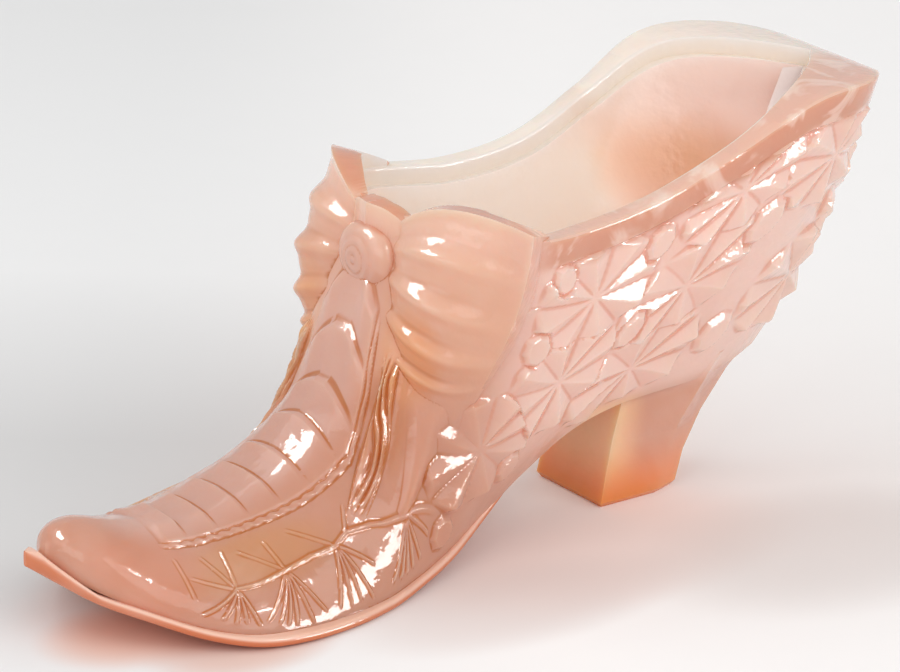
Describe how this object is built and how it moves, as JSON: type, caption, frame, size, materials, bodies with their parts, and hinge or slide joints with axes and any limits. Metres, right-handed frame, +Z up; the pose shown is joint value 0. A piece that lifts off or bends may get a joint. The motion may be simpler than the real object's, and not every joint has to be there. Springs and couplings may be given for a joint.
{
  "type": "glass slipper ornament",
  "caption": "Pressed glass slipper with a bow, laced panel, star pattern, turned-up toe and faceted heel, hollow and open at the top.",
  "frame": {"origin": "centre of the bounding box's bottom face; the ball of the sole and the heel stand on z = 0", "axes": "+X from the toe to the pointed back corner, +Y across the slipper, +Z up"},
  "size_m": [0.1444, 0.0458, 0.0605],
  "materials": {
    "glass": "polished opalescent pink"
  },
  "bodies": {
    "root": {"slipper": "glass"}
  },
  "joints": []
}
